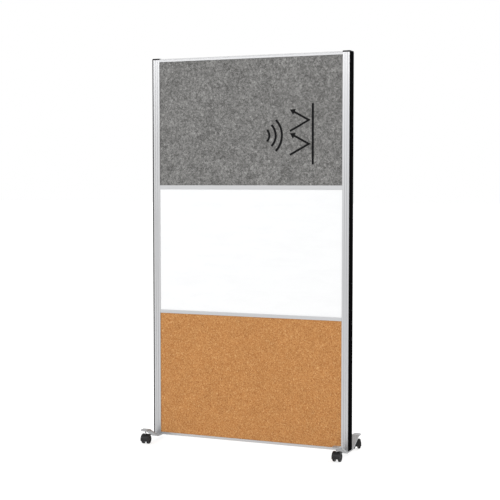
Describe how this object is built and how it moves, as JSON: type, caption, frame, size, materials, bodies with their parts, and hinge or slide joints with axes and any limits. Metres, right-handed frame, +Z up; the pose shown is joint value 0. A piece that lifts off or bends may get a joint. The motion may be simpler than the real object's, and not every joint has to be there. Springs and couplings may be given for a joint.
{
  "type": "mobile partition wall",
  "caption": "Free-standing room divider with an aluminium frame, felt, whiteboard and cork fields on both sides, and feet on swivelling castors.",
  "frame": {"origin": "on the floor, under the middle of the wall", "axes": "+Z up, +X along the wall to the right as seen from the front, front of the wall towards -Y"},
  "size_m": [1.0055, 0.3417, 1.8278],
  "materials": {
    "aluminium": "satin",
    "galvanised_steel": "satin",
    "white_enamel": "gloss",
    "grey_felt": "matte",
    "cork": "matte",
    "honeycomb_board": "matte",
    "black_strip": "matte",
    "castor_black": "satin"
  },
  "bodies": {
    "wall": {"post_left": "aluminium", "post_right": "aluminium", "top_rail": "aluminium", "upper_mid_rail": "aluminium", "lower_mid_rail": "aluminium", "bottom_rail": "aluminium", "felt_core": "honeycomb_board", "felt_face_front": "grey_felt", "felt_face_back": "grey_felt", "whiteboard_core": "honeycomb_board", "whiteboard_face_front": "white_enamel", "whiteboard_face_back": "white_enamel", "cork_core": "honeycomb_board", "cork_face_front": "cork", "cork_face_back": "cork", "top_cap_left": "black_strip", "side_strip_left": "black_strip", "foot_left": "galvanised_steel", "foot_screw_left_front": "galvanised_steel", "foot_screw_left_back": "galvanised_steel", "rail_screw_top_left": "galvanised_steel", "rail_screw_upper_mid_left": "galvanised_steel", "rail_screw_lower_mid_left": "galvanised_steel", "rail_screw_bottom_left": "galvanised_steel", "top_cap_right": "black_strip", "side_strip_right": "black_strip", "foot_right": "galvanised_steel", "foot_screw_right_front": "galvanised_steel", "foot_screw_right_back": "galvanised_steel", "rail_screw_top_right": "galvanised_steel", "rail_screw_upper_mid_right": "galvanised_steel", "rail_screw_lower_mid_right": "galvanised_steel", "rail_screw_bottom_right": "galvanised_steel", "castor_stem_front_left": "galvanised_steel", "castor_nut_front_left": "galvanised_steel", "castor_stem_front_right": "galvanised_steel", "castor_nut_front_right": "galvanised_steel", "castor_stem_back_left": "galvanised_steel", "castor_nut_back_left": "galvanised_steel", "castor_stem_back_right": "galvanised_steel", "castor_nut_back_right": "galvanised_steel"},
    "castor_front_left": {"castor_housing_front_left": "castor_black", "castor_axle_front_left": "galvanised_steel"},
    "wheel_left_front_left": {"castor_wheel_left_front_left": "castor_black"},
    "wheel_right_front_left": {"castor_wheel_right_front_left": "castor_black"},
    "castor_front_right": {"castor_housing_front_right": "castor_black", "castor_axle_front_right": "galvanised_steel"},
    "wheel_left_front_right": {"castor_wheel_left_front_right": "castor_black"},
    "wheel_right_front_right": {"castor_wheel_right_front_right": "castor_black"},
    "castor_back_left": {"castor_housing_back_left": "castor_black", "castor_axle_back_left": "galvanised_steel"},
    "wheel_left_back_left": {"castor_wheel_left_back_left": "castor_black"},
    "wheel_right_back_left": {"castor_wheel_right_back_left": "castor_black"},
    "castor_back_right": {"castor_housing_back_right": "castor_black", "castor_axle_back_right": "galvanised_steel"},
    "wheel_left_back_right": {"castor_wheel_left_back_right": "castor_black"},
    "wheel_right_back_right": {"castor_wheel_right_back_right": "castor_black"}
  },
  "joints": [
    {"name": "castor_front_left_swivel", "type": "hinge", "parent": "wall", "child": "castor_front_left", "pos_m": [-0.4787, -0.1418, 0.0474], "axis": [0, 0, 1], "continuous": true},
    {"name": "wheel_left_front_left_spin", "type": "hinge", "parent": "castor_front_left", "child": "wheel_left_front_left", "pos_m": [-0.47895, -0.1346, 0.0215], "axis": [0.9994, 0.0349, 0], "continuous": true},
    {"name": "wheel_right_front_left_spin", "type": "hinge", "parent": "castor_front_left", "child": "wheel_right_front_left", "pos_m": [-0.47895, -0.1346, 0.0215], "axis": [0.9994, 0.0349, 0], "continuous": true},
    {"name": "castor_front_right_swivel", "type": "hinge", "parent": "wall", "child": "castor_front_right", "pos_m": [0.4787, -0.1418, 0.0474], "axis": [0, 0, 1], "continuous": true},
    {"name": "wheel_left_front_right_spin", "type": "hinge", "parent": "castor_front_right", "child": "wheel_left_front_right", "pos_m": [0.47857, -0.1346, 0.0215], "axis": [0.9998, 0.0175, 0], "continuous": true},
    {"name": "wheel_right_front_right_spin", "type": "hinge", "parent": "castor_front_right", "child": "wheel_right_front_right", "pos_m": [0.47857, -0.1346, 0.0215], "axis": [0.9998, 0.0175, 0], "continuous": true},
    {"name": "castor_back_left_swivel", "type": "hinge", "parent": "wall", "child": "castor_back_left", "pos_m": [-0.4787, 0.1418, 0.0474], "axis": [0, 0, 1], "continuous": true},
    {"name": "wheel_left_back_left_spin", "type": "hinge", "parent": "castor_back_left", "child": "wheel_left_back_left", "pos_m": [-0.4772, 0.14884, 0.0215], "axis": [0.9781, -0.2079, 0], "continuous": true},
    {"name": "wheel_right_back_left_spin", "type": "hinge", "parent": "castor_back_left", "child": "wheel_right_back_left", "pos_m": [-0.4772, 0.14884, 0.0215], "axis": [0.9781, -0.2079, 0], "continuous": true},
    {"name": "castor_back_right_swivel", "type": "hinge", "parent": "wall", "child": "castor_back_right", "pos_m": [0.4787, 0.1418, 0.0474], "axis": [0, 0, 1], "continuous": true},
    {"name": "wheel_left_back_right_spin", "type": "hinge", "parent": "castor_back_right", "child": "wheel_left_back_right", "pos_m": [0.47488, 0.14791, 0.0215], "axis": [0.848, 0.5299, 0], "continuous": true},
    {"name": "wheel_right_back_right_spin", "type": "hinge", "parent": "castor_back_right", "child": "wheel_right_back_right", "pos_m": [0.47488, 0.14791, 0.0215], "axis": [0.848, 0.5299, 0], "continuous": true}
  ]
}
